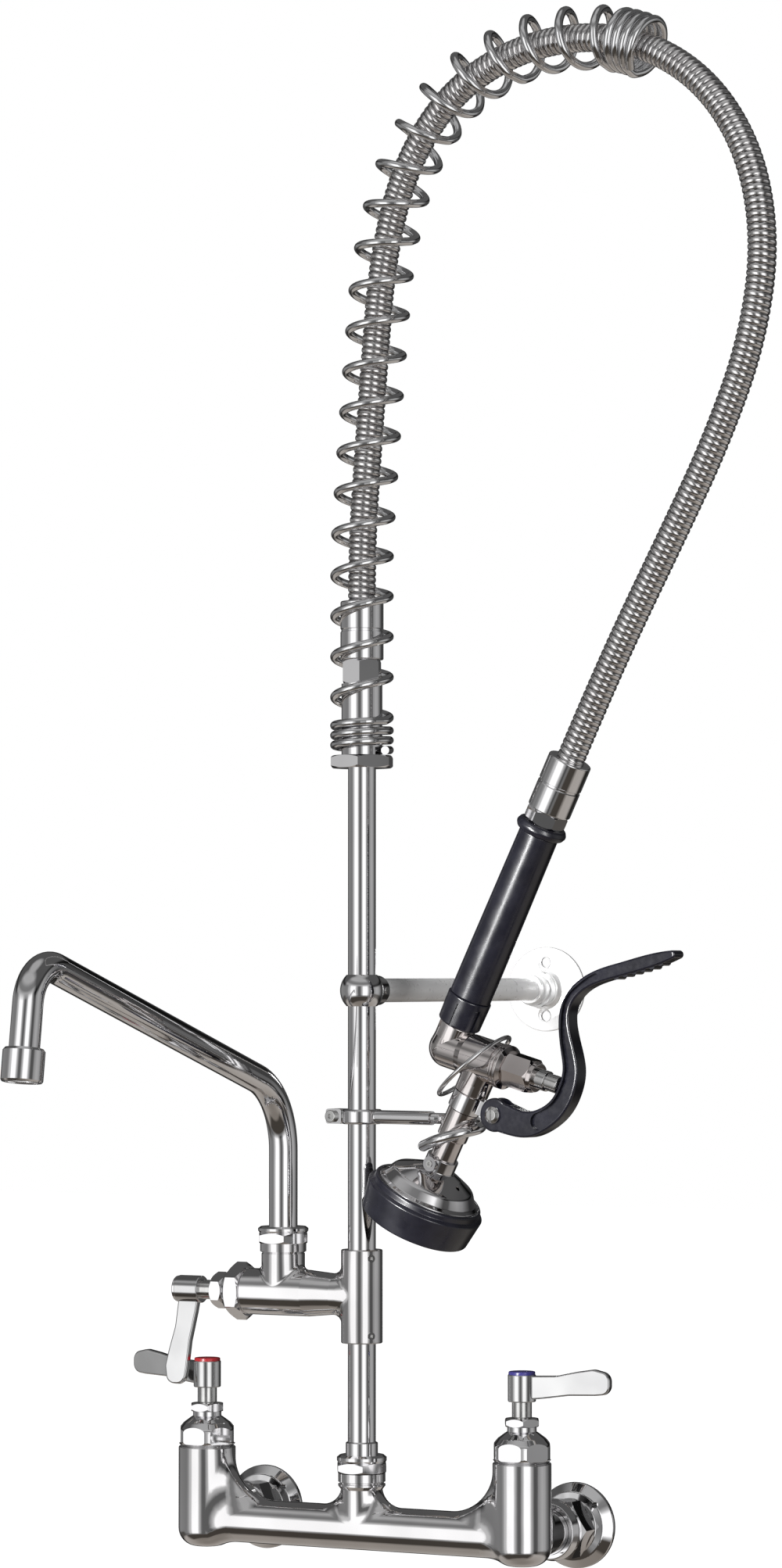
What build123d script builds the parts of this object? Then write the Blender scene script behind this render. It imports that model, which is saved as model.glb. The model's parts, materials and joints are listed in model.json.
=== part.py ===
from build123d import *
import os
from math import atan2, cos, degrees, hypot, pi, radians, sin, tan

# Wall-mounted pre-rinse faucet with an add-on swing faucet, in millimetres.
# Origin: on the wall, midway between the two inlets. +X right, +Y into the wall, +Z up.

# ---- driving dimensions ----
INLET_SPACING = 203.2
VALVE_TO_WALL = 70.0
RISER_R = 8.0
RISER_BORE_R = 6.6
RISER_FOOT_Z = 142.0
RISER_TOP_Z = 462.0
RUNNING_GAP = 0.06
THREAD_R = 11.0
COUPLING_R = 12.6

BAR_R = 12.5
VALVE_BODY_R = 16.5
VALVE_BODY_FOOT_Z = -15.6
VALVE_BODY_TOP_Z = 41.8
SHANK_R = 13.0
BODY_FLARES = (28.0, 24.0, 20.0, 15.0, 10.0)
BOSS_FLARES = (14.0, 12.0, 9.0, 6.0)
SHANK_FLARES = (12.0, 9.0, 6.0)
ADDON_FLARES = (6.0, 5.0, 4.0, 3.0)
BONNET_TOP_Z = 61.8
LOCK_NUT_TOP_Z = 66.5
STEM_R = 4.2
STEM_NECK_R = 5.6
HANDLE_SEAT_Z = 75.6
HUB_R = 7.9
HUB_H = 17.0
LEVER_LENGTH = 55.0
LEVER_THICKNESS = 4.6
HOT_LEVER_SWING = 170.0

WALL_FLANGE_R = 24.5
INLET_THREAD_R = 9.6
INLET_THREAD_LENGTH = 14.0

ADDON_AXIS_Z = 131.8
ADDON_SLEEVE_R = 11.85
ADDON_SLEEVE_FOOT_Z = 104.6
ADDON_SLEEVE_TOP_Z = 157.8
ADDON_BARREL_R = 13.3
ADDON_ROOT_R = 11.6
ADDON_BARREL_END = 74.0
ADDON_BOSS_R = 12.5
ADDON_SCREW_HEIGHTS = (109.2, 153.0)
ADDON_SCREW_TURN = radians(-35)
ADDON_SEAT = 104.8
ADDON_LEVER_SWING = 9.5
SPOUT_X = -51.3
SPOUT_R = 8.25
SPOUT_WALL = 1.2
SPOUT_REACH = 280.0
SPOUT_LOW_CORNER_Z = 246.0
SPOUT_HIGH_CORNER_Z = 324.2
SPOUT_NOSE_Z = 269.7
SPOUT_NOSE_LEAN = 8.0
SPOUT_BEND_R = 44.0
AERATOR_R = 11.3

BRACKET_Z = 305.0
BRACKET_BALL_R = 12.5
BRACKET_ARM_R = 6.85
BRACKET_WALL_Y = 170.0
BRACKET_FLANGE_R = 25.9
BRACKET_HOLE_OFFSET = 16.5
BRACKET_HOLE_R = 3.2
HOOK_Z = 233.2
HOOK_CURL_R = 3.1
HOOK_CURL = [
    (47, 0, 0), (54, 3, -0.2), (58, 13.2, -0.7), (72, 15, -2.2), (81.2, 5, -5.0), (77.5, -10, -7.6),
    (64, -15, -11.4), (51.3, -10.2, -15.3),
]

OVERHEAD_TURN = -9.0
SPRING_FOOT_Z = 439.3
SPRING_MEAN_R = 16.35
SPRING_WIRE_R = 2.4
SPRING_OPEN_PITCH = 23.2
SPRING_CLOSED_PITCH = 5.6
SPRING_LENGTH = 528.0
HOSE_R = 8.0
UPPER_FERRULE_TOP_Z = 527.7
HOSE_ROUTE = [
    (0, 527.7), (0, 560), (4, 609), (9, 665), (15, 725), (32, 778), (67, 817), (120, 836), (179, 833),
    (229, 808), (262, 765), (274, 712), (265, 656), (241, 602), (212, 552), (184, 505), (161.8, 464.9),
    (145.1, 433.0),
]

ELBOW = (61.5, 273.0)
GRIP_LEAN = 27.6
BARREL_DROP = 14.9
TEE_AT = 26.2
NECK_LEAN = 28.0
COLLAR_SLOTS = 6
COLLAR_SLOT_WIDTH = 1.7
NECK_R = 7.6
NECK_SLEEVE_R = 8.7
PLUNGER_R = 5.8
PLUNGER_TIP = 79.5
NECK_SCREW_AXES = ((-1, 0, 0), (0, 1, 0))
PIVOT = (95.8, 235.9)
PIVOT_R = 2.5
TONGUE_WIDTH = 5.0
LEVER_WIDTH = 10.0
LEVER_ROOT_R = 9.5
LEVER_RIM = 1.7
LEVER_POCKET_DEPTH = 2.0
LEVER_POCKET = (0.17, 0.72)
LEVER_ROUNDS = (1.3, 1.0, 0.7, 0.4)
SERRATIONS = 6
SERRATION_R = 2.0
SERRATION_PITCH = 6.0
LEVER_ROUTE = [
    (95.8, 235.9), (119, 229), (140, 240), (149, 260), (143, 282), (144, 300), (160, 312), (214.6, 325),
]
# thickness in the plane of its curve, by share of the lever's length
LEVER_THICKNESS_AT = [
    (0.0, 17.0), (0.10, 15.0), (0.22, 11.8), (0.30, 11.2), (0.42, 9.6), (0.54, 6.6), (0.64, 6.2), (0.74, 7.4),
    (0.92, 7.8), (1.0, 4.6),
]
HOLD_RING_R = 25.0
HOLD_RING_CENTRE = (79.2, 263.0)
HOLD_RING_SLOPE = 38.0
HOLD_RING_TILT = -13.0
HOLD_RING_WIRE_R = 1.25

RISER_Y = -VALVE_TO_WALL
INLET_X = INLET_SPACING / 2
OVERHEAD = Location((0, RISER_Y, 0), (0, 0, OVERHEAD_TURN))
PARTS = {}


# ---- shaping helpers ----
def lathe(*outline):
    """Turned solid about Z from (radius, height) or (radius, height, corner radius) points."""
    points = [(p[0], 0, p[1]) for p in outline]
    corners = [p[2] if len(p) > 2 else 0 for p in outline]
    if any(corners):
        edges = FilletPolyline(*points, radius=corners, close=True)
    else:
        edges = Polyline(*points, close=True)
    return revolve(make_face(edges), Axis.Z)


def rod(radius, low, high):
    """Solid cylinder about Z between two heights."""
    return Pos(0, 0, (low + high) / 2) * Cylinder(radius, high - low)


def tube(outer, inner, low, high):
    return rod(outer, low, high) - rod(inner, low - 1, high + 1)


def hexagon(across_flats, low, high):
    """Hexagonal prism about Z with its corners turned off."""
    prism = Pos(0, 0, low) * extrude(RegularPolygon(across_flats / 2, 6, major_radius=False), high - low)
    corner_r = across_flats / 2 / cos(pi / 6)
    bevel = min(1.4, (high - low) / 3)
    flat_r = across_flats / 2 * 0.99
    barrel = lathe((0, low), (flat_r, low), (corner_r, low + bevel), (corner_r, high - bevel),
                   (flat_r, high), (0, high))
    return prism & barrel


def aimed(part, origin, direction, x_dir=None):
    """Stand a part built about Z on an origin with its axis along a direction."""
    return Plane(origin=origin, x_dir=x_dir, z_dir=direction).location * part


def at_valve(part, side):
    return Pos(side * INLET_X, RISER_Y, 0) * part


def over(part):
    """Place a part drawn in the overhead plane, where X is the distance out from the riser."""
    return OVERHEAD * part


def step(start, end):
    return tuple(b - a for a, b in zip(start, end))


def along(start, end, distance):
    """Point at a distance from start towards end."""
    run = step(start, end)
    size = hypot(*run)
    return tuple(a + r * distance / size for a, r in zip(start, run))


def rounded_path(points, share=0.45, radius=None):
    """Straight runs joined by tangent arcs; returns the wire and the arcs' radii."""
    edges = []
    radii = []
    last = points[0]
    for before, corner, after in zip(points, points[1:], points[2:]):
        turn = Vector(*step(before, corner)).get_angle(Vector(*step(corner, after)))
        half = tan(radians(turn) / 2)
        reach = share * min(hypot(*step(before, corner)), hypot(*step(corner, after)))
        if radius:
            reach = min(reach, radius * half)
        start = along(corner, before, reach)
        end = along(corner, after, reach)
        middle = tuple((a + b) / 2 for a, b in zip(start, end))
        arc_r = reach / half
        inset = hypot(arc_r, reach) - arc_r
        edges.append(Line(last, start))
        edges.append(ThreePointArc(start, along(corner, middle, inset), end))
        radii.append(arc_r)
        last = end
    edges.append(Line(last, points[-1]))
    return Wire([e.edge() for e in edges]), radii


def swept(section, path):
    """Sweep a section drawn on XY along a wire."""
    start = Plane(origin=path @ 0, z_dir=path % 0)
    return sweep(start * section, path=path)


def round_bar(points, radius, share=0.45):
    path, _ = rounded_path(points, share)
    return swept(Circle(radius), path)


def in_plane(points):
    return [(p[0], 0, p[1]) for p in points]


# ---- mixing faucet base ----
def casting_outside():
    """Bar, two valve bodies, centre boss and wall shanks, with the wide flares of a casting between them."""
    bar = Pos(0, RISER_Y, 0) * Rot(0, 90, 0) * Cylinder(BAR_R, INLET_SPACING)
    body = lathe((0, VALVE_BODY_FOOT_Z), (VALVE_BODY_R, VALVE_BODY_FOOT_Z, 10.5),
                 (VALVE_BODY_R, VALVE_BODY_TOP_Z, 0.8), (0, VALVE_BODY_TOP_Z))
    boss = lathe((0, 0), (11.9, 0), (11.9, 22.0), (13.5, 24.0), (13.5, 25.0), (12.6, 25.4), (12.6, 26.0),
                 (13.5, 26.4), (13.5, 31.0), (THREAD_R, 31.4), (THREAD_R, 37.0), (0, 37.0))
    shank = lathe((0, 0), (SHANK_R, 0), (SHANK_R, 35), (15.0, 36.0), (15.0, 40.0), (0, 40.0))
    solid = bar + at_valve(body, -1) + at_valve(body, 1) + Pos(0, RISER_Y, 0) * boss
    solid = flared(flared(solid, body_seam, BODY_FLARES), boss_seam, BOSS_FLARES)
    for side in (-1, 1):
        solid += aimed(shank, (side * INLET_X, RISER_Y, 0), (0, 1, 0))
    return flared(solid, shank_seam, SHANK_FLARES)


def flared(solid, chosen, radii):
    """Fillet the chosen seams with the first radius that the casting has room for."""
    for radius in radii:
        try:
            result = fillet([e for e in solid.edges() if chosen(e)], radius)
            if result.is_valid:
                return result
        except (ValueError, RuntimeError):
            pass
    return solid


def body_seam(edge):
    """True for the curves where the bar meets the valve bodies."""
    box = edge.bounding_box()
    middle = box.center()
    low_x = INLET_X - VALVE_BODY_R - 2
    return low_x < abs(middle.X) < INLET_X - 2 and box.size.Z > 2 and box.size.Y > 2 and box.max.Z < BAR_R + 1


def boss_seam(edge):
    """True for the saddle curve where the centre boss leaves the bar."""
    box = edge.bounding_box()
    return abs(box.center().X) < 13 and box.size.X > 10 and 0.5 < box.center().Z < BAR_R and box.size.Z > 3


def shank_seam(edge):
    """True for the curves where the wall shanks leave the valve bodies."""
    box = edge.bounding_box()
    middle = box.center()
    return 8 < middle.Y - RISER_Y < 22 and box.size.Z > 6 and abs(abs(middle.X) - INLET_X) < 12


def mixing_body():
    solid = casting_outside()
    cavity = lathe((0, -5), (12.2, -5), (12.2, 36), (13.2, 36), (13.2, VALVE_BODY_TOP_Z + 1),
                   (0, VALVE_BODY_TOP_Z + 1))
    for side in (-1, 1):
        solid -= at_valve(cavity, side)
        solid -= aimed(rod(7.5, 0, 41), (side * INLET_X, RISER_Y, 0), (0, 1, 0))
    solid -= Pos(0, RISER_Y, 0) * Rot(0, 90, 0) * Cylinder(7.0, INLET_SPACING)
    return solid - Pos(0, RISER_Y, 0) * rod(7.0, 0, 38)


def both_inlets(part):
    """Two copies of a part turned about Z, aimed at the wall from each inlet's wall centre."""
    return Compound([aimed(part, (side * INLET_X, 0, 0), (0, 1, 0), (1, 0, 0)).solid() for side in (-1, 1)])


def wall_flange():
    """Domed flange with the female inlet thread and a male thread for the coupling nut."""
    outside = lathe((0, 0), (WALL_FLANGE_R, 0), (WALL_FLANGE_R, -2.2, 1.0), (19.5, -6.4, 2.5),
                    (15.5, -7.6, 1.0), (14.0, -12.0), (COUPLING_R, -12.0), (COUPLING_R, -28.4), (0, -28.4))
    inlet = rod(INLET_THREAD_R, -INLET_THREAD_LENGTH, 1) + rod(7.5, -30, 0)
    screw_hole = Pos(14.5, -12.5, 0) * rod(1.7, -12, 1)
    return outside - inlet - screw_hole


def coupling_nut():
    outside = hexagon(32.0, -27.0, -13.0)
    dome = lathe((0, -37.4), (15.8, -37.4, 1.0), (17.2, -32.0, 3.0), (16.2, -27.0), (0, -27.0))
    inside = rod(COUPLING_R, -29.9, -12) + rod(SHANK_R + 0.2, -40, -20) + rod(15.2, -35.2, -29.0)
    return outside + dome - inside


def base_parts():
    PARTS["mixing_body"] = mixing_body()
    PARTS["wall_flanges"] = both_inlets(wall_flange())
    PARTS["inlet_coupling_nuts"] = both_inlets(coupling_nut())
    washers = both_inlets(tube(11.5, 7.6, -30.0, -28.4)).solids()
    washers += (Pos(0, RISER_Y, 0) * tube(THREAD_R - 0.1, 7.2, 37.0, 38.6)).solids()
    PARTS["union_washers"] = Compound(washers)


# ---- valve stacks, shared by the two base valves and the add-on valve ----
def bonnet():
    """Domed hexagonal bonnet; height 0 is the valve body's top face."""
    top = BONNET_TOP_Z - VALVE_BODY_TOP_Z
    dome = lathe((0, 0), (15.2, 0), (15.6, 0.8), (16.9, 2.4, 1.6), (16.9, 9.6, 3.6), (13.6, 13.6, 3.0),
                 (9.8, 16.4, 1.2), (8.25, 17.4), (8.25, top), (0, top))
    flats = Pos(0, 0, 1.6) * extrude(RegularPolygon(15.4, 6, major_radius=False), top)
    foot = rod(20, 0, 1.6)
    shaped = dome & (flats + foot)
    spigot = rod(13.2, -5.8, 0)
    return shaped + spigot - rod(STEM_R + RUNNING_GAP, -7, top + 1)


def addon_bonnet():
    top = 14.0
    shaped = hexagon(29.0, 0, 9.0) + lathe((0, 8.9), (14.0, 8.9), (11.4, 12.4, 1.5), (8.8, top), (0, top))
    return shaped + rod(9.5, -5.0, 0) - rod(STEM_R + RUNNING_GAP, -7, top + 1)


def lock_nut(low, high):
    return hexagon(18.4, low, high) - rod(STEM_R + RUNNING_GAP, low - 1, high + 1)


def cartridge(radius, low, high):
    """Sealed ceramic-disc cartridge with a socket for the stem's foot."""
    body = lathe((0, low), (radius - 1.5, low), (radius - 1.5, low + 4), (radius, low + 5), (radius, high),
                 (0, high))
    return body - rod(STEM_R + RUNNING_GAP, low + 8, high + 1)


def stem(foot):
    """Valve stem; height 0 is the handle's seat."""
    shaft = rod(STEM_R, foot, 9.0) + lathe((0, -8.8), (STEM_NECK_R, -8.8, 0.6), (STEM_NECK_R, 0), (0, 0))
    return shaft - rod(2.0, 3.0, 10)


def handle():
    """Lever handle with its hub on Z and its blade along X; height 0 is the underside of the hub."""
    hub = lathe((0, 0), (HUB_R, 0, 0.8), (HUB_R, HUB_H - 1.8, 0.5), (0, HUB_H - 1.8))
    tip = LEVER_LENGTH
    outline = FilletPolyline((3, 1.2), (13, 2.2), (30, 4.6), (tip - 9, 5.2), (tip, 6.2), (tip, 17.6),
                             (tip - 10, 19.8), (tip - 20, 18.2), (22, 15.4), (3, 14.6), close=True,
                             radius=[0, 6, 20, 6, 5.5, 5.5, 8, 12, 14, 0])
    blade = extrude(Plane.XZ * make_face(outline), LEVER_THICKNESS / 2, both=True)
    blade = fillet(blade.edges().filter_by(lambda e: e.center().X > HUB_R and abs(e.center().Y) > 1), 1.1)
    blade -= rod(HUB_R - 0.5, -1, HUB_H + 4)
    socket = rod(STEM_R, -1, 9.0) + rod(2.2, 0, 14) + rod(3.7, 12.0, HUB_H)
    return hub + blade - socket


def handle_screw():
    head = lathe((0, 12.0), (3.4, 12.0), (3.4, 14.8, 0.5), (0, 14.8))
    slot = Pos(0, 0, 14.6) * Box(6, 0.8, 1.2)
    return head + rod(2.0, 3.4, 12.0) - slot


def index_button():
    return lathe((0, HUB_H - 1.8), (7.5, HUB_H - 1.8), (7.5, HUB_H, 0.7), (0, HUB_H))


def handle_group(name, origin, direction, lever_direction, stem_foot):
    pieces = {"stem": stem(stem_foot), "handle": handle(), "handle_screw": handle_screw(),
              "index_button": index_button()}
    for piece, solid in pieces.items():
        PARTS[f"{name}_{piece}"] = aimed(solid, origin, direction, lever_direction)


def valve_parts():
    addon_mouth = (-ADDON_BARREL_END, RISER_Y, ADDON_AXIS_Z)
    out = (-1, 0, 0)
    bonnets = [at_valve(Pos(0, 0, VALVE_BODY_TOP_Z) * bonnet(), side).solid() for side in (-1, 1)]
    bonnets.append(aimed(addon_bonnet(), addon_mouth, out).solid())
    PARTS["valve_bonnets"] = Compound(bonnets)
    nuts = [at_valve(lock_nut(BONNET_TOP_Z, LOCK_NUT_TOP_Z), side).solid() for side in (-1, 1)]
    nuts.append(aimed(lock_nut(14.0, 21.6), addon_mouth, out).solid())
    PARTS["packing_nuts"] = Compound(nuts)
    inserts = [at_valve(cartridge(12.2, -4.0, 36.0), side).solid() for side in (-1, 1)]
    inserts.append(aimed(cartridge(9.5, -40.0, -5.0), addon_mouth, out).solid())
    PARTS["valve_cartridges"] = Compound(inserts)
    seat = HANDLE_SEAT_Z
    up = (0, 0, 1)
    swing = radians(HOT_LEVER_SWING)
    drop = radians(ADDON_LEVER_SWING)
    handle_group("cold", (INLET_X, RISER_Y, seat), up, (1, 0, 0), 14.0 - seat)
    handle_group("hot", (-INLET_X, RISER_Y, seat), up, (cos(swing), sin(swing), 0), 14.0 - seat)
    handle_group("addon", (-ADDON_SEAT, RISER_Y, ADDON_AXIS_Z), out, (0, -sin(drop), -cos(drop)),
                 ADDON_BARREL_END - ADDON_SEAT - 26.0)


# ---- centre stack, add-on faucet and riser ----
def centre_parts():
    here = Pos(0, RISER_Y, 0)
    shoulder = lathe((0, 37.2), (13.6, 37.2), (14.2, 38.4), (14.2, 40.2), (12.6, 41.5), (0, 41.5))
    nut = hexagon(27.4, 31.4, 37.2) + shoulder
    PARTS["centre_swivel_nut"] = here * (nut - rod(THREAD_R, 31, 40.4) - rod(9.25, 31, 42))
    nipple = lathe((0, 38.6), (10.8, 38.6), (10.8, 40.4), (9.2, 40.4), (9.2, 48.3, 0.6), (RISER_R, 48.9),
                   (RISER_R, 122.0), (0, 122.0))
    PARTS["lower_nipple"] = here * (nipple - rod(RISER_BORE_R, 38, 123))


def addon_outside():
    """Sleeve on the riser, tapered barrel with the valve in it, and the boss that holds the spout."""
    sleeve = lathe((0, ADDON_SLEEVE_FOOT_Z), (ADDON_SLEEVE_R, ADDON_SLEEVE_FOOT_Z, 0.8),
                   (ADDON_SLEEVE_R, ADDON_SLEEVE_TOP_Z, 0.8), (0, ADDON_SLEEVE_TOP_Z))
    barrel = lathe((0, 0), (ADDON_ROOT_R - 0.2, 0), (ADDON_ROOT_R, 16.0), (ADDON_BARREL_R, 34.0),
                   (ADDON_BARREL_R, ADDON_BARREL_END, 0.6), (0, ADDON_BARREL_END))
    boss = lathe((0, ADDON_AXIS_Z), (ADDON_BOSS_R, ADDON_AXIS_Z), (ADDON_BOSS_R, 154.0), (12.0, 154.6),
                 (13.3, 155.4), (13.3, 160.0), (0, 160.0))
    solid = sleeve + aimed(barrel, (0, 0, ADDON_AXIS_Z), (-1, 0, 0)) + Pos(SPOUT_X, 0, 0) * boss
    return flared(flared(solid, sleeve_seam, ADDON_FLARES), spout_boss_seam, ADDON_FLARES)


def sleeve_seam(edge):
    """True for the curve where the barrel leaves the sleeve."""
    box = edge.bounding_box()
    middle = box.center()
    return abs(middle.Z - ADDON_AXIS_Z) < 12 and -12 < middle.X < -0.5 and box.size.Z > 2 and box.size.Y > 2


def spout_boss_seam(edge):
    """True for the curve where the spout's boss leaves the barrel."""
    box = edge.bounding_box()
    return abs(box.center().X - SPOUT_X) < 4 and box.size.X > 12 and box.size.Z > 2 and box.size.Y > 6


def addon_screw_direction():
    return cos(ADDON_SCREW_TURN), sin(ADDON_SCREW_TURN), 0


def addon_body():
    solid = addon_outside()
    solid -= rod(RISER_R, 100, 122.0) + rod(RISER_R, RISER_FOOT_Z, 170) + rod(RISER_BORE_R, 120, 145)
    solid -= aimed(rod(9.5, 32, 80) + rod(5.5, 0, 40), (0, 0, ADDON_AXIS_Z), (-1, 0, 0))
    spout_bore = rod(SPOUT_R + 0.08, 142.5, 165) + rod(6.5, ADDON_AXIS_Z, 150) + rod(10.1, 156.0, 161)
    solid -= Pos(SPOUT_X, 0, 0) * spout_bore
    for height in ADDON_SCREW_HEIGHTS:
        solid -= aimed(rod(2.2, RISER_R, 20), (0, 0, height), addon_screw_direction())
    return Pos(0, RISER_Y, 0) * solid


def addon_set_screws():
    """Grub screws in the sleeve's right-hand wall, in the frame of the riser's axis."""
    screws = []
    for height in ADDON_SCREW_HEIGHTS:
        screw = rod(2.2, RISER_R, ADDON_SLEEVE_R + 0.5) - hexagon(1.8, ADDON_SLEEVE_R - 1, ADDON_SLEEVE_R + 2)
        screws.append(aimed(screw, (0, 0, height), addon_screw_direction()))
    return screws


def addon_parts():
    here = Pos(0, RISER_Y, 0)
    PARTS["addon_body"] = addon_body()
    PARTS["riser_tube"] = here * tube(RISER_R, RISER_BORE_R, RISER_FOOT_Z, RISER_TOP_Z)
    shoulder = lathe((0, 166.0), (13.6, 166.0), (14.5, 167.2), (14.5, 168.6), (13.0, 169.7), (0, 169.7))
    nut = hexagon(27.6, 160.0, 166.0) + shoulder
    PARTS["spout_nut"] = Pos(SPOUT_X, RISER_Y, 0) * (nut - rod(SPOUT_R + 0.08, 159, 171))


# ---- swing spout ----
def spout_route():
    """Spout centreline from its foot in the add-on body to the nose, pointing straight away from the wall."""
    nose_y = -(SPOUT_REACH - 2.0)
    lean = (SPOUT_HIGH_CORNER_Z - SPOUT_NOSE_Z) * tan(radians(SPOUT_NOSE_LEAN))
    return [(0, 0, 143.0), (0, 0, SPOUT_LOW_CORNER_Z), (0, nose_y + lean, SPOUT_HIGH_CORNER_Z),
            (0, nose_y, SPOUT_NOSE_Z)]


def spout_parts():
    route = spout_route()
    path, _ = rounded_path(route, radius=SPOUT_BEND_R)
    pipe = swept(Circle(SPOUT_R), path) - swept(Circle(SPOUT_R - SPOUT_WALL), path)
    collar = tube(10.0, SPOUT_R - 0.5, 156.3, 159.6)
    grooves = [tube(SPOUT_R + 1, SPOUT_R - 0.7, low, low + 2.0) for low in (145.5, 150.5)]
    for groove in grooves:
        pipe -= groove
    here = Pos(SPOUT_X, RISER_Y, 0)
    PARTS["spout_tube"] = here * (pipe + collar)
    rings = [here * tube(SPOUT_R - 0.02, SPOUT_R - 0.7, low, low + 2.0) for low in (145.5, 150.5)]
    PARTS["spout_o_rings"] = Compound([ring.solid() for ring in rings])
    nose = path @ 1
    down = path % 1
    shell = lathe((SPOUT_R, -6.0), (AERATOR_R - 1.2, -6.0), (AERATOR_R, -4.6), (AERATOR_R, 11.0),
                  (AERATOR_R - 0.7, 12.0), (AERATOR_R - 2.4, 12.0), (AERATOR_R - 2.4, 0), (SPOUT_R, 0))
    cup = tube(AERATOR_R - 2.4, 7.4, 1.0, 11.0) + tube(7.4, 6.8, 2.0, 8.0)
    screen = rod(6.8, 3.0, 4.0)
    for ring_r, count in ((2.2, 5), (4.7, 10)):
        for index in range(count):
            turn = 2 * pi * index / count
            screen -= Pos(ring_r * cos(turn), ring_r * sin(turn), 0) * rod(0.7, 2, 5)
    PARTS["aerator_shell"] = here * aimed(shell, nose, down)
    PARTS["aerator_insert"] = here * aimed(cup + screen, nose, down)


# ---- wall bracket ----
def bracket_parts():
    ball = Sphere(BRACKET_BALL_R) & rod(20, -9.0, 9.0)
    neck = aimed(rod(8.6, 6.0, 18.0), (0, 0, 0), (0, 1, 0))
    socket = aimed(rod(BRACKET_ARM_R, 9.4, 20.0), (0, 0, 0), (0, 1, 0))
    grub_place = ((0, 14.0, 0), (1, 0, 0))
    grub_hole = aimed(rod(1.8, 0, 12.0), *grub_place)
    ring = ball + neck - rod(RISER_R, -20, 20) - socket - grub_hole
    here = Pos(0, RISER_Y, BRACKET_Z)
    PARTS["bracket_ring"] = here * ring
    grub = here * aimed(rod(1.8, BRACKET_ARM_R, 9.0) - hexagon(1.6, 8.0, 10), *grub_place)
    on_riser = Pos(0, RISER_Y, 0)
    PARTS["grub_screws"] = Compound([(on_riser * s).solid() for s in addon_set_screws()] + [grub.solid()])
    arm_length = BRACKET_WALL_Y - RISER_Y
    arm = tube(BRACKET_ARM_R, BRACKET_ARM_R - 1.4, 9.4, arm_length - 0.5)
    PARTS["bracket_arm"] = here * aimed(arm, (0, 0, 0), (0, 1, 0))
    at_wall = Pos(0, BRACKET_WALL_Y, BRACKET_Z)
    PARTS["bracket_flange"] = at_wall * aimed(bracket_flange(), (0, 0, 0), (0, 1, 0), (1, 0, 0))
    screw = rod(2.0, BRACKET_ARM_R + RUNNING_GAP, 11.0) - hexagon(1.8, 10.0, 12)
    PARTS["bracket_flange_grub_screw"] = at_wall * aimed(screw, (0, -13.5, 0), (0, 0, -1))


def bracket_flange():
    """Wall flange with a stepped ferrule that slides on the bracket arm; height 0 is the wall face."""
    disc = lathe((0, 0), (BRACKET_FLANGE_R, 0), (BRACKET_FLANGE_R, -1.6, 0.8), (18.0, -3.6, 4.0),
                 (12.2, -4.4, 1.0), (10.6, -7.0), (10.6, -9.2), (9.6, -9.8), (9.6, -10.8), (11.0, -11.2),
                 (11.0, -15.8), (9.6, -16.2), (9.6, -18.0), (10.2, -18.4), (10.2, -21.0), (8.9, -21.6),
                 (8.9, -25.4, 0.6), (0, -25.4))
    disc -= rod(BRACKET_ARM_R + RUNNING_GAP, -30, 1)
    for side in (-1, 1):
        countersink = lathe((0, -6.5), (5.6, -6.5), (5.0, -4.4), (3.2, -2.0), (0, -2.0))
        hole = rod(BRACKET_HOLE_R, -10, 1) + countersink
        disc -= aimed(hole, (0, side * BRACKET_HOLE_OFFSET, 0), (0, 0, 1))
    return disc - aimed(rod(2.0, 5, 12), (0, 0, -13.5), (0, 1, 0))


# ---- overhead hose, spring and spray valve ----
def hook_parts():
    """Clamp ring on the riser with a rod that curls round the spray valve's neck."""
    bore_r = RISER_R + RUNNING_GAP
    ring = lathe((bore_r, -4.25), (11.6, -4.25, 1.6), (11.6, 4.25, 1.6), (bore_r, 4.25))
    ears = Pos(-16.5, 0, 0) * Box(11, 10.4, 8.5)
    ears = fillet(ears.edges().filter_by(Axis.Y), 1.6)
    slit = Pos(-16, 0, 0) * Box(13.5, 1.4, 10)
    bore = rod(bore_r, -6, 6)
    screw_axis = ((-17.5, 0, 0), (0, -1, 0))
    screw_hole = aimed(rod(2.0, -6, 6), *screw_axis)
    clamp = ring + (ears - bore) - slit - screw_hole
    arm = aimed(rod(3.9, 10.6, 50.0), (0, 0, 0), (1, 0, 0)) - bore
    curl = round_bar(HOOK_CURL, HOOK_CURL_R)
    tip = Pos(*HOOK_CURL[-1]) * Sphere(HOOK_CURL_R)
    PARTS["finger_hook"] = over(Pos(0, 0, HOOK_Z) * (clamp + arm + curl + tip))
    head = lathe((0, 5.2), (3.6, 5.2), (3.6, 7.6, 0.6), (0, 7.6)) - hexagon(2.6, 6.4, 9)
    screw = rod(2.0, -5.2, 5.2) + head
    PARTS["finger_hook_screw"] = over(Pos(0, 0, HOOK_Z) * aimed(screw, *screw_axis))


def hose_path():
    return rounded_path(in_plane(HOSE_ROUTE))


def spring_axis_point(distance, path):
    """Point and outward normal on the spring's curved axis, by distance from the spring's foot."""
    straight = UPPER_FERRULE_TOP_Z - SPRING_FOOT_Z
    if distance <= straight:
        return Vector(0, 0, SPRING_FOOT_Z + distance), Vector(1, 0, 0)
    spot = path.position_at(distance - straight, position_mode=PositionMode.LENGTH)
    heading = path.tangent_at(distance - straight, position_mode=PositionMode.LENGTH)
    return spot, Vector(heading.Z, 0, -heading.X)


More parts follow.
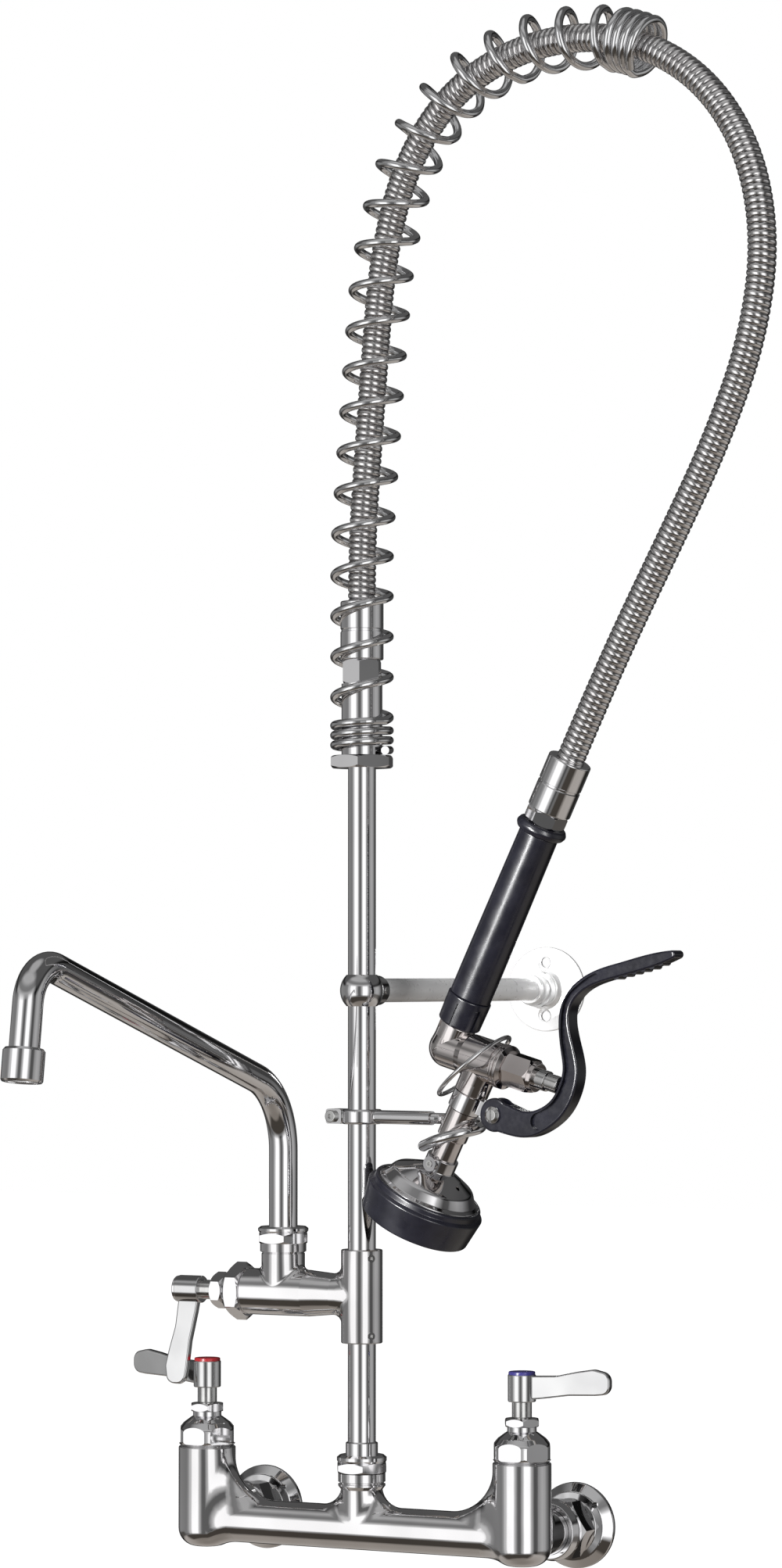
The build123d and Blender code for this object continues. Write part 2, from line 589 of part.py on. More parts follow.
def overhead_spring():
    """Closed coils at the foot, open coils along the hose and closed coils at the far end."""
    path, _ = hose_path()
    corners_per_turn = 10
    open_turns = round((SPRING_LENGTH - 7 * SPRING_CLOSED_PITCH) / SPRING_OPEN_PITCH)
    pitches = [SPRING_CLOSED_PITCH] * 3 + [SPRING_OPEN_PITCH] * open_turns + [SPRING_CLOSED_PITCH] * 4
    corner_r = SPRING_MEAN_R * 1.012
    corners = []
    distance = SPRING_WIRE_R + 0.1
    for turn, pitch in enumerate(pitches):
        for index in range(corners_per_turn):
            angle = 2 * pi * index / corners_per_turn
            spot, normal = spring_axis_point(distance, path)
            offset = normal * (corner_r * cos(angle)) + Vector(0, corner_r * sin(angle), 0)
            corners.append(tuple(spot + offset))
            distance += pitch / corners_per_turn
    lengths = 3 * corners_per_turn
    pieces = []
    for first in range(0, len(corners) - 1, lengths):
        run = corners[first:first + lengths]
        if first > 0:
            run.insert(0, tuple((Vector(*corners[first - 1]) + Vector(*corners[first])) / 2))
        if first + lengths < len(corners):
            run.append(tuple((Vector(*corners[first + lengths - 1]) + Vector(*corners[first + lengths])) / 2))
        wire, _ = rounded_path(run)
        pieces.append(over(swept(Circle(SPRING_WIRE_R), wire)).solid())
    return Compound(pieces)


def hose_solid():
    path, radii = hose_path()
    print("hose path length", round(path.length, 1), "arc radii", [round(r) for r in radii])
    solid = swept(Circle(HOSE_R), path)
    print("hose volume / (section x length)", round(solid.volume / (pi * HOSE_R ** 2 * path.length), 4))
    return over(solid)


def crimped_ferrule(bore, outer, low, high):
    """Sleeve on the end of the hose, with a crimp groove half way up."""
    middle = (low + high) / 2
    return lathe((bore, low), (outer, low, 0.8), (outer, middle - 1.0), (outer - 0.5, middle - 0.5),
                 (outer - 0.5, middle + 0.5), (outer, middle + 1.0), (outer, high, 1.0), (bore, high))


def overhead_column_parts():
    bearing = RISER_R + RUNNING_GAP
    base = hexagon(33.4, 432.0, SPRING_FOOT_Z) - rod(bearing, 430, 445)
    PARTS["spring_base_nut"] = over(base)
    sleeve = tube(11.7, bearing, SPRING_FOOT_Z, 463.0) + tube(11.7, RISER_BORE_R, 463.0, 480.3)
    PARTS["riser_swivel_sleeve"] = over(sleeve)
    PARTS["hose_hex_adapter"] = over(hexagon(20.6, 480.3, 494.0) - rod(6.0, 479, 495))
    ferrule = crimped_ferrule(6.0, 12.35, 494.0, UPPER_FERRULE_TOP_Z)
    PARTS["upper_ferrule"] = over(ferrule)
    PARTS["overhead_spring"] = overhead_spring()
    PARTS["spray_hose"] = hose_solid()


def grip_frame(part):
    """Stand a part on the spray valve's elbow with its axis up the grip."""
    lean = radians(GRIP_LEAN)
    return over(aimed(part, (ELBOW[0], 0, ELBOW[1]), (sin(lean), 0, cos(lean)), (0, 1, 0)))


def barrel_frame(part):
    """Stand a part on the elbow with its axis along the valve's barrel."""
    drop = radians(BARREL_DROP)
    return over(aimed(part, (ELBOW[0], 0, ELBOW[1]), (cos(drop), 0, -sin(drop)), (0, 1, 0)))


def tee_point():
    drop = radians(BARREL_DROP)
    return ELBOW[0] + TEE_AT * cos(drop), ELBOW[1] - TEE_AT * sin(drop)


def neck_frame(part):
    """Stand a part on the tee with its axis down the neck to the spray face."""
    tee = tee_point()
    lean = radians(NECK_LEAN)
    return over(aimed(part, (tee[0], 0, tee[1]), (-sin(lean), 0, -cos(lean)), (0, 1, 0)))


def grip_parts():
    PARTS["lower_ferrule"] = grip_frame(crimped_ferrule(5.0, 12.4, 149.0, 180.45))
    PARTS["hose_swivel_nut"] = grip_frame(hexagon(20.6, 141.0, 149.0) - rod(5.0, 140, 150))
    ring = lathe((6.5, 135.0), (13.2, 135.0, 1.8), (14.8, 138.0, 2.0), (13.2, 141.0, 1.8), (6.5, 141.0))
    PARTS["grip_o_ring"] = grip_frame(ring)
    grip = lathe((6.5, 32.5), (12.0, 32.5, 0.8), (11.9, 60.0, 60.0), (11.3, 135.0, 0.8), (6.5, 135.0))
    PARTS["spray_grip"] = grip_frame(grip)
    collar = lathe((6.5, 15.2), (12.3, 15.2, 1.2), (12.7, 32.5, 0.8), (6.5, 32.5))
    for index in range(COLLAR_SLOTS):
        slot = Pos(12.9, 0, 20) * Box(2.6, COLLAR_SLOT_WIDTH, 18)
        collar -= Rot(0, 0, 360 / COLLAR_SLOTS * index + 12) * slot
    PARTS["grip_collar"] = grip_frame(collar)
    PARTS["handle_pipe"] = grip_frame(tube(6.5, 4.8, 10.0, 141.0))


def spray_valve_body():
    elbow = over(Pos(ELBOW[0], 0, ELBOW[1]) * Sphere(11.2))
    stub = grip_frame(lathe((0, 0), (11.2, 0), (10.6, 6), (10.6, 15.2, 0.8), (0, 15.2)))
    barrel = barrel_frame(lathe((0, 0), (11.2, 0), (11.2, 12), (12.2, 16), (12.2, 38.0, 0.6), (0, 38.0)))
    neck = neck_frame(lathe((0, 0), (10.4, 0), (9.8, 14), (9.8, 20.5, 0.5), (0, 20.5)))
    cavity = barrel_frame(rod(7.0, 4.0, 39.0))
    drilling = grip_frame(rod(6.5, 10.0, 17.0) + rod(4.8, 0, 12)) + neck_frame(rod(4.6, 0, 22))
    return elbow + stub + barrel + neck - cavity - drilling


def valve_bonnet():
    """Hexagonal bonnet that guides the plunger."""
    flange = lathe((0, 38.0), (12.6, 38.0, 0.5), (12.6, 39.8, 0.5), (11.9, 40.0), (12.6, 40.2, 0.5),
                   (12.6, 42.0, 0.5), (10.2, 43.6), (0, 43.6))
    guide = hexagon(18.2, 43.4, 61.0) + lathe((0, 60.5), (8.8, 60.5), (8.2, 63.6, 0.6), (0, 63.6))
    bore = rod(3.0 + RUNNING_GAP, 30, 66) + rod(PLUNGER_R + RUNNING_GAP, 56.0, 66)
    return rod(7.0, 31.0, 38.0) + flange + guide - bore


def return_spring():
    """Compression spring round the plunger stem, between its washer and the bonnet."""
    turns = 5
    corners_per_turn = 8
    radius = 5.2
    low = 15.2
    high = 30.2
    total = turns * corners_per_turn
    points = []
    for index in range(total + 1):
        turn = 2 * pi * index / corners_per_turn
        points.append((radius * cos(turn), radius * sin(turn), low + (high - low) * index / total))
    return round_bar(points, 0.6)


def spray_parts():
    PARTS["spray_valve_body"] = spray_valve_body()
    PARTS["spray_valve_bonnet"] = barrel_frame(valve_bonnet())
    PARTS["plunger_return_spring"] = barrel_frame(return_spring())
    cap = lathe((0, 62.8), (PLUNGER_R, 62.8), (PLUNGER_R, 70.6, 0.5), (PLUNGER_R - 0.9, 71.2),
                (PLUNGER_R - 0.9, PLUNGER_TIP - 0.8, 0.8), (3.4, PLUNGER_TIP), (0, PLUNGER_TIP))
    PARTS["spray_plunger"] = barrel_frame(rod(3.0, 11.0, 62.8) + cap)
    PARTS["plunger_washer"] = barrel_frame(tube(5.6, 3.0, 11.0, 14.0))
    neck = lathe((4.6, 20.5), (NECK_R, 20.5), (NECK_R, 31.4), (NECK_SLEEVE_R, 31.8),
                 (NECK_SLEEVE_R, 49.0, 0.4), (NECK_R, 49.8), (NECK_R, 73.0), (4.6, 73.0))
    PARTS["spray_neck"] = neck_frame(neck)
    PARTS["spray_dome"] = neck_frame(spray_dome())
    PARTS["spray_bumper"] = neck_frame(spray_bumper())
    PARTS["spray_face_plate"] = neck_frame(face_plate())
    head = lathe((0, 101.5), (4.0, 101.5), (3.4, 103.3), (0, 103.3)) - Pos(0, 0, 103.2) * Box(6, 0.9, 1.2)
    face_screw = neck_frame(rod(2.0, 97.5, 101.5) + head)
    neck_screw = neck_frame(aimed(lock_screw(), (0, 0, 66.0), *NECK_SCREW_AXES))
    lever_screw = over(at_pivot(pivot_screw()))
    PARTS["spray_valve_screws"] = Compound([s.solid() for s in (face_screw, neck_screw, lever_screw)])


def lock_screw():
    return rod(2.0, NECK_R, 11.4) - hexagon(1.8, 10.4, 12)


def spray_dome():
    """Pressed dome over the spray face, with a collar that clamps the neck."""
    shell = lathe((NECK_R, 62.0), (9.2, 62.0, 0.5), (9.2, 69.5, 0.8), (14.5, 71.6, 3.0), (24.0, 76.4, 5.0),
                  (27.4, 82.0, 1.0), (29.6, 83.4, 0.8), (29.6, 99.0), (27.6, 99.0), (27.6, 85.0),
                  (22.8, 79.0, 4.0), (14.0, 74.4, 3.0), (NECK_R, 73.0))
    boss = aimed(rod(4.2, 7.8, 11.0), (0, 0, 66.0), *NECK_SCREW_AXES)
    hole = aimed(rod(2.0, 7.0, 12.0), (0, 0, 66.0), *NECK_SCREW_AXES)
    vent = aimed(rod(1.3, 0, 40), (0, 17.0, 66.0), (0, 0, 1))
    return shell + boss - hole - vent


def spray_bumper():
    """Rubber ring that wraps the rim of the dome and holds the face plate."""
    return lathe((29.6, 83.8), (31.8, 83.8, 1.2), (32.0, 87.2, 0.5), (34.4, 88.6, 0.8), (31.75, 105.5, 1.2),
                 (27.4, 105.5, 0.8), (27.4, 101.5), (29.6, 101.5))


def face_plate():
    plate = rod(29.6, 99.0, 101.5) - rod(2.0, 98, 103)
    for ring_r, count in ((9.0, 8), (15.5, 12), (22.0, 18)):
        for index in range(count):
            turn = 2 * pi * index / count
            plate -= Pos(ring_r * cos(turn), ring_r * sin(turn), 0) * rod(1.1, 98, 103)
    return plate


# ---- squeeze lever and hold-down ring ----
def lever_bracket():
    """Band round the neck with a tongue that carries the lever's pivot."""
    band = neck_frame(tube(9.6, NECK_R, 21.0, 31.0))
    tee = tee_point()
    foot = (tee[0] - 25.0 * sin(radians(NECK_LEAN)), tee[1] - 25.0 * cos(radians(NECK_LEAN)))
    angle = degrees(atan2(PIVOT[1] - foot[1], PIVOT[0] - foot[0]))
    reach = hypot(PIVOT[0] - foot[0], PIVOT[1] - foot[1])
    bar = Pos(reach / 2, 0, 0) * Box(reach, TONGUE_WIDTH, 10.0)
    tongue = Pos(foot[0], 0, foot[1]) * Rot(0, -angle, 0) * bar
    eye = at_pivot(rod(6.0, -TONGUE_WIDTH / 2, TONGUE_WIDTH / 2))
    hole = at_pivot(rod(PIVOT_R, -4.0, 4.0))
    return band + over(tongue + eye - hole) - neck_frame(rod(NECK_R, 15, 40) + rod(12.0, 5.0, 20.6))


def at_pivot(part):
    """Stand a part built about Z on the lever's pivot, with its axis across the overhead plane."""
    return aimed(part, (PIVOT[0], 0, PIVOT[1]), (0, -1, 0))


def lever_thickness(share):
    for (low, thin), (high, thick) in zip(LEVER_THICKNESS_AT, LEVER_THICKNESS_AT[1:]):
        if share <= high:
            return thin + (thick - thin) * (share - low) / (high - low)
    return LEVER_THICKNESS_AT[-1][1]


def lever_face(path, inset, start, end):
    """Side view of the lever between two shares of its length, drawn in by an inset, with a round far end."""
    stations = 16
    above = []
    below = []
    for index in range(stations + 1):
        share = start + (end - start) * index / stations
        heading = path % share
        half = (lever_thickness(share) / 2 - inset) * Vector(heading.Z, 0, -heading.X)
        above.append(path @ share + half)
        below.append(path @ share - half)
    far_end = path @ end + (path % end) * (lever_thickness(end) / 2 - inset)
    near_end = path @ start - (path % start) * (lever_thickness(start) / 2 - inset)
    return make_face([
        Spline(*above), ThreePointArc(above[-1], far_end, below[-1]),
        Spline(*reversed(below)), ThreePointArc(below[0], near_end, above[0]),
    ])


def squeeze_lever():
    """Curved lever with raised rims on both sides, a forked root and finger serrations under its end."""
    path, _ = rounded_path(in_plane(LEVER_ROUTE))
    half_width = LEVER_WIDTH / 2
    solid = extrude(lever_face(path, 0, 0, 1), half_width, dir=(0, 1, 0), both=True)
    solid += at_pivot(rod(LEVER_ROOT_R, -half_width, half_width))
    solid = flared(solid, lever_rim, LEVER_ROUNDS)
    pocket = extrude(lever_face(path, LEVER_RIM, *LEVER_POCKET), LEVER_POCKET_DEPTH, dir=(0, 1, 0))
    solid -= Pos(0, half_width - LEVER_POCKET_DEPTH, 0) * pocket + Pos(0, -half_width, 0) * pocket
    for index in range(SERRATIONS):
        distance = path.length - SERRATION_PITCH * (index + 1.4)
        spot = path.position_at(distance, position_mode=PositionMode.LENGTH)
        heading = path.tangent_at(distance, position_mode=PositionMode.LENGTH)
        drop = lever_thickness(distance / path.length) / 2 - SERRATION_R / 2
        spot += Vector(heading.Z, 0, -heading.X) * drop
        solid += aimed(rod(SERRATION_R, -half_width + 1, half_width - 1), spot, (0, -1, 0))
    slot = at_pivot(rod(LEVER_ROOT_R + 1.5, -TONGUE_WIDTH / 2 - 0.3, TONGUE_WIDTH / 2 + 0.3))
    hole = at_pivot(rod(PIVOT_R + RUNNING_GAP, -9, 9))
    return over(solid - slot - hole)


def lever_rim(edge):
    """True for the long edges round both flat sides of the lever."""
    box = edge.bounding_box()
    return box.size.Y < 0.01 and abs(abs(box.center().Y) - LEVER_WIDTH / 2) < 0.01


def pivot_screw():
    side = LEVER_WIDTH / 2
    seat = side + 0.3
    top = seat + 2.4
    shank = rod(PIVOT_R, -side - 0.4, seat)
    head = lathe((0, seat), (4.8, seat), (4.8, seat + 1.2, 0.5), (3.0, top, 0.8), (0, top))
    return shank + head - Pos(0, 0, top) * Box(5.6, 0.9, 1.4)


def lever_parts():
    PARTS["lever_bracket"] = lever_bracket()
    PARTS["squeeze_lever"] = squeeze_lever()
    slope = radians(HOLD_RING_SLOPE)
    tilt = radians(HOLD_RING_TILT)
    upright = (-sin(slope) * cos(tilt), sin(tilt), cos(slope) * cos(tilt))
    ring = aimed(Torus(HOLD_RING_R, HOLD_RING_WIRE_R), (HOLD_RING_CENTRE[0], 0, HOLD_RING_CENTRE[1]), upright)
    PARTS["hold_down_ring"] = over(ring)


def write_parts():
    os.makedirs("parts", exist_ok=True)
    for name, shape in PARTS.items():
        export_step(shape, f"parts/{name}.step")
    print(len(PARTS), "nodes")


base_parts()
valve_parts()
centre_parts()
addon_parts()
spout_parts()
bracket_parts()
hook_parts()
overhead_column_parts()
grip_parts()
spray_parts()
lever_parts()
write_parts()
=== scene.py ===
import json
import math

import bpy
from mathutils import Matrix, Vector


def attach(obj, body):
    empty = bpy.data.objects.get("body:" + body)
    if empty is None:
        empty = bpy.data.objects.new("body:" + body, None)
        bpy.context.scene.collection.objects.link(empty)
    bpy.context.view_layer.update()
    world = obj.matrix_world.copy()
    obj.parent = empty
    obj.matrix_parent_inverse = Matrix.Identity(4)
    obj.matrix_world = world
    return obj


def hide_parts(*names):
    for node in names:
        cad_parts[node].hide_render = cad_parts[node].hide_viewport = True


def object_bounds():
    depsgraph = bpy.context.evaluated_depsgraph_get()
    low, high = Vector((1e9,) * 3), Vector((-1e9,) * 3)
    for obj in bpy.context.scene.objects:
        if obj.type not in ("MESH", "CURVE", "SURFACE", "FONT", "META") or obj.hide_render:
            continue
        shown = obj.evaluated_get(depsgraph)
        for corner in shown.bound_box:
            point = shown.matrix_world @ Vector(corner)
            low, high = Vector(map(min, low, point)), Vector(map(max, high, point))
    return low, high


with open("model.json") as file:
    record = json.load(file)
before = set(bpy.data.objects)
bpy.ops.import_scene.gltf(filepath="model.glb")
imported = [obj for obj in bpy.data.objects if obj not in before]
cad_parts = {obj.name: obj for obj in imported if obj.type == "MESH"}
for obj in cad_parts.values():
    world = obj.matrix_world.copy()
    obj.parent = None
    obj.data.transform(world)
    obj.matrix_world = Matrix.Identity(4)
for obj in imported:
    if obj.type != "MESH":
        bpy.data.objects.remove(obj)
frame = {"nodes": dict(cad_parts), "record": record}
cad_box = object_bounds()

# ---- sizes and places, in metres, in the row frame ----
RISER_X, RISER_Y = 0.0, -0.070
OVERHEAD_TURN = math.radians(-9.0)
HOSE_DIAMETER = 0.016
HOSE_ROUTE = [
    (0, 0.5277), (0, 0.560), (0.004, 0.609), (0.009, 0.665), (0.015, 0.725), (0.032, 0.778), (0.067, 0.817),
    (0.120, 0.836), (0.179, 0.833), (0.229, 0.808), (0.262, 0.765), (0.274, 0.712), (0.265, 0.656),
    (0.241, 0.602), (0.212, 0.552), (0.184, 0.505), (0.1618, 0.4649), (0.1451, 0.4330),
]
ROUTE_ORDER = 3
ROUTE_RESOLUTION = 24
HOSE_SIDES = 28
RIB_PITCH = 0.0036
RIB_DEPTH = 0.0013
RIB_STEPS = 9
RIB_FULLNESS = 2.4
CAMERA_AZIMUTH = math.radians(28.0)
CAMERA_DISTANCE = 2.70
CAMERA_HEIGHT = 0.315
CAMERA_PITCH = math.radians(2.29)
CAMERA_SIDESTEP = 0.0166
CAMERA_LENS = 108.5
SENSOR_WIDTH = 36.0
CAMERA_REACH = 50.0
FLOOR_DROP = 0.45
FLOOR_HALF_SIDE = 12.0
# where the softboxes point, and what they light
SOFTBOX_AIM = (0, 0, 0.35)
SOFTBOX_SLOTS = (
    "satin_black_grip", "gloss_black_lever", "black_rubber", "hot_red", "cold_blue", "aerator_plastic",
)
SOFTBOX_NODES = ("bracket_arm", "bracket_flange")
# the share of a noise's range over which a material varies
NOISE_LOW, NOISE_HIGH = 0.35, 0.65


def over(r, side, z):
    """Row-frame point in terms of the overhead plane: distance out from the riser, side offset, height."""
    c, s = math.cos(OVERHEAD_TURN), math.sin(OVERHEAD_TURN)
    return Vector((RISER_X + r * c - side * s, RISER_Y + r * s + side * c, z))


# ---- node helpers ----
class Shader:
    """A small builder for one material's nodes."""

    def __init__(self, name, color, metallic=0.0, roughness=0.4, **sockets):
        self.material = bpy.data.materials.new(name)
        self.material.use_nodes = True
        self.tree = self.material.node_tree
        self.surface = self.tree.nodes["Principled BSDF"]
        self.surface.inputs["Base Color"].default_value = (*color, 1)
        self.surface.inputs["Metallic"].default_value = metallic
        self.surface.inputs["Roughness"].default_value = roughness
        for socket, value in sockets.items():
            self.surface.inputs[socket.replace("_", " ")].default_value = value
        self.place = self.add("ShaderNodeTexCoord").outputs["Object"]

    def add(self, kind, **settings):
        node = self.tree.nodes.new(kind)
        for key, value in settings.items():
            setattr(node, key, value)
        return node

    def link(self, start, end):
        self.tree.links.new(start, end)

    def noise(self, scale, detail=3.0):
        node = self.add("ShaderNodeTexNoise")
        node.inputs["Scale"].default_value = scale
        node.inputs["Detail"].default_value = detail
        self.link(self.place, node.inputs["Vector"])
        return node.outputs["Fac"]

    def spread(self, value, low, high, start=NOISE_LOW, end=NOISE_HIGH):
        """Map the stretch of a value from start to end onto low to high."""
        node = self.add("ShaderNodeMapRange")
        node.inputs["From Min"].default_value = start
        node.inputs["From Max"].default_value = end
        node.inputs["To Min"].default_value = low
        node.inputs["To Max"].default_value = high
        self.link(value, node.inputs["Value"])
        return node.outputs["Result"]

    def vary_roughness(self, value, low, high):
        self.link(self.spread(value, low, high), self.surface.inputs["Roughness"])

    def vary_color(self, value, dark, light):
        ramp = self.add("ShaderNodeValToRGB")
        first, last = ramp.color_ramp.elements
        first.position, last.position = NOISE_LOW, NOISE_HIGH
        first.color, last.color = (*dark, 1), (*light, 1)
        self.link(value, ramp.inputs["Fac"])
        self.link(ramp.outputs["Color"], self.surface.inputs["Base Color"])
        return ramp.outputs["Color"]

    def paint_shade(self, color, attribute, dark, start, end):
        """Painted shade: fade the colour to a dark one where a mesh attribute is high."""
        depth = self.add("ShaderNodeAttribute", attribute_name=attribute).outputs["Fac"]
        mix = self.add("ShaderNodeMix", data_type="RGBA")
        self.link(self.spread(depth, 0.0, 1.0, start, end), mix.inputs["Factor"])
        self.link(color, mix.inputs["A"])
        mix.inputs["B"].default_value = (*dark, 1)
        self.link(mix.outputs["Result"], self.surface.inputs["Base Color"])

    def bump(self, value, strength, distance):
        node = self.add("ShaderNodeBump")
        node.inputs["Strength"].default_value = strength
        node.inputs["Distance"].default_value = distance
        self.link(value, node.inputs["Height"])
        self.link(node.outputs["Normal"], self.surface.inputs["Normal"])


def polished_chrome(name="polished_chrome", color=(0.89, 0.885, 0.895)):
    shader = Shader(name, color, metallic=1.0, roughness=0.035)
    shader.vary_roughness(shader.noise(240.0), 0.025, 0.055)
    shader.vary_color(shader.noise(26.0, 2.0), [0.95 * c for c in color], color)
    shader.bump(shader.noise(30.0, 1.0), 0.06, 0.0012)
    return shader.material


def cast_chrome(name="cast_chrome", dark=(0.79, 0.78, 0.785), light=(0.89, 0.88, 0.89)):
    """Plated casting: the same finish over a surface that is not quite true."""
    shader = Shader(name, light, metallic=1.0, roughness=0.10)
    shader.vary_roughness(shader.noise(170.0, 4.0), 0.035, 0.075)
    shader.vary_color(shader.noise(22.0, 2.5), dark, light)
    shader.bump(shader.noise(36.0, 2.0), 0.10, 0.0016)
    return shader.material


def handle_chrome():
    """Lever handles, polished a little softer than the tubes."""
    shader = Shader("handle_chrome", (0.80, 0.80, 0.80), metallic=1.0, roughness=0.10)
    shader.vary_roughness(shader.noise(150.0, 4.0), 0.07, 0.13)
    shader.vary_color(shader.noise(30.0, 2.0), (0.70, 0.70, 0.705), (0.84, 0.84, 0.84))
    shader.bump(shader.noise(24.0, 1.5), 0.22, 0.002)
    return shader.material


def painted_highlight_chrome(name="painted_highlight_chrome", metallic=0.15, rough=0.32):
    """Painted highlight: the chrome wall bracket given a near-white, barely metallic colour that stands in
    for its washed-out shine.
    """
    shader = Shader(name, (0.95, 0.95, 0.95), metallic=metallic, roughness=rough)
    shader.vary_roughness(shader.noise(300.0, 3.0), rough - 0.05, rough + 0.07)
    shader.vary_color(shader.noise(60.0, 2.0), (0.91, 0.91, 0.915), (0.98, 0.98, 0.98))
    return shader.material


def spring_wire():
    shader = Shader("spring_wire", (0.90, 0.90, 0.91), metallic=1.0, roughness=0.08)
    shader.vary_roughness(shader.noise(600.0, 4.0), 0.05, 0.13)
    shader.vary_color(shader.noise(60.0, 2.0), (0.80, 0.80, 0.81), (0.93, 0.93, 0.94))
    return shader.material


def hose_steel():
    shader = Shader("stripwound_steel", (0.90, 0.89, 0.89), metallic=1.0, roughness=0.12)
    shader.vary_roughness(shader.noise(500.0, 3.0), 0.10, 0.16)
    plating = shader.vary_color(shader.noise(90.0, 3.0), (0.84, 0.82, 0.82), (0.95, 0.94, 0.94))
    # painted shade: the colour fades to near black towards the bottom of each groove between the rib turns
    shader.paint_shade(plating, "groove", (0.035, 0.03, 0.035), 0.22, 0.70)
    return shader.material


def stainless():
    shader = Shader("stainless_fittings", (0.74, 0.74, 0.735), metallic=1.0, roughness=0.16)
    shader.vary_roughness(shader.noise(500.0, 4.0), 0.10, 0.22)
    shader.vary_color(shader.noise(90.0, 3.0), (0.64, 0.635, 0.63), (0.80, 0.80, 0.79))
    return shader.material


def satin_black():
    shader = Shader("satin_black_grip", (0.005, 0.005, 0.009), roughness=0.25, Specular_IOR_Level=0.85)
    shader.vary_roughness(shader.noise(150.0, 3.0), 0.22, 0.30)
    shader.vary_color(shader.noise(60.0, 3.0), (0.004, 0.004, 0.008), (0.008, 0.008, 0.014))
    shader.bump(shader.noise(160.0, 1.0), 0.03, 0.0002)
    return shader.material


def gloss_black():
    shader = Shader("gloss_black_lever", (0.004, 0.004, 0.008), roughness=0.22, Specular_IOR_Level=0.7)
    shader.vary_roughness(shader.noise(320.0, 4.0), 0.17, 0.27)
    shader.vary_color(shader.noise(45.0, 3.0), (0.003, 0.003, 0.006), (0.006, 0.006, 0.012))
    shader.bump(shader.noise(260.0, 2.0), 0.03, 0.0004)
    return shader.material


def black_rubber(name="black_rubber", rough=0.28):
    shader = Shader(name, (0.004, 0.004, 0.009), roughness=rough, Specular_IOR_Level=0.85)
    shader.vary_roughness(shader.noise(120.0, 3.0), rough - 0.03, rough + 0.05)
    shader.vary_color(shader.noise(70.0, 3.0), (0.003, 0.003, 0.007), (0.008, 0.008, 0.014))
    shader.bump(shader.noise(130.0, 1.0), 0.04, 0.0003)
    return shader.material


def moulded(name, dark, light, rough=0.4):
    shader = Shader(name, light, roughness=rough)
    shader.vary_roughness(shader.noise(400.0, 4.0), rough - 0.08, rough + 0.08)
    shader.vary_color(shader.noise(120.0, 3.0), dark, light)
    return shader.material


# ---- camera, lights and floor ----
def add_camera():
    forward = Vector((-math.sin(CAMERA_AZIMUTH), math.cos(CAMERA_AZIMUTH), 0))
    right = Vector((math.cos(CAMERA_AZIMUTH), math.sin(CAMERA_AZIMUTH), 0))
    camera = bpy.data.objects.new("camera", bpy.data.cameras.new("camera"))
    bpy.context.scene.collection.objects.link(camera)
    spot = Vector((RISER_X, RISER_Y, 0)) + right * CAMERA_SIDESTEP - forward * CAMERA_DISTANCE
    camera.location = (spot.x, spot.y, CAMERA_HEIGHT)
    aim = forward * math.cos(CAMERA_PITCH) + Vector((0, 0, math.sin(CAMERA_PITCH)))
    camera.rotation_euler = aim.to_track_quat("-Z", "Y").to_euler()
    camera.data.lens = CAMERA_LENS
    camera.data.sensor_width = SENSOR_WIDTH
    camera.data.clip_end = CAMERA_REACH
    bpy.context.scene.camera = camera


def grey(value, warmth=0.0):
    """Opaque grey; warmth adds red and takes blue away."""
    return (value * (1 + warmth), value, value * (1 - warmth), 1)


class Surround:
    """Builder for the world's nodes, from the direction that a ray leaves in."""

    def __init__(self):
        world = bpy.data.worlds.new("studio")
        bpy.context.scene.world = world
        world.use_nodes = True
        self.tree = world.node_tree
        self.tree.nodes.clear()
        place = self.tree.nodes.new("ShaderNodeTexCoord")
        parts = self.tree.nodes.new("ShaderNodeSeparateXYZ")
        self.tree.links.new(place.outputs["Generated"], parts.inputs["Vector"])
        self.x, self.y, self.z = (parts.outputs[axis] for axis in "XYZ")

    def math(self, operation, *values):
        node = self.tree.nodes.new("ShaderNodeMath")
        node.operation = operation
        for socket, value in zip(node.inputs, values):
            if isinstance(value, (int, float)):
                socket.default_value = value
            else:
                self.tree.links.new(value, socket)
        return node.outputs["Value"]

    def ramp(self, value, low, high, stops):
        """Colours along a value that runs from low to high."""
        node = self.tree.nodes.new("ShaderNodeValToRGB")
        elements = node.color_ramp.elements
        elements.remove(elements[-1])
        for index, (position, color) in enumerate(stops):
            share = (position - low) / (high - low)
            element = elements[0] if index == 0 else elements.new(share)
            element.position = share
            element.color = color
        scaled = self.math("DIVIDE", self.math("SUBTRACT", value, low), high - low)
        self.tree.links.new(scaled, node.inputs["Fac"])
        return node.outputs["Color"]

    def mix(self, factor, first, second, blend="MIX"):
        node = self.tree.nodes.new("ShaderNodeMix")
        node.data_type = "RGBA"
        node.blend_type = blend
        for socket, value in (("Factor", factor), ("A", first), ("B", second)):
            if isinstance(value, (int, float, tuple)):
                node.inputs[socket].default_value = value
            else:
                self.tree.links.new(value, node.inputs[socket])
        return node.outputs["Result"]


# what polished metal reflects, by degrees round to the right of the camera's side
AROUND = [
    (-180, grey(0.06)), (-150, grey(0.08)), (-134, grey(0.24)), (-90, grey(0.20)), (-80, grey(0.30)),
    (-74, grey(0.55)), (-66, grey(0.62)), (-61, grey(1.15)), (-36, grey(1.20)), (-31, grey(0.60)),
    (-25, grey(0.36)), (-18, grey(0.12)), (-8, grey(0.12)), (-2, grey(0.40)), (3, grey(0.55)),
    (8, grey(1.20)), (29, grey(1.15)), (34, grey(0.55)), (41, grey(0.30)), (48, grey(0.08)),
    (60, grey(0.10)), (66, grey(0.28)), (84, grey(0.42)), (100, grey(0.36)), (112, grey(0.20)),
    (126, grey(0.05)), (180, grey(0.06)),
]
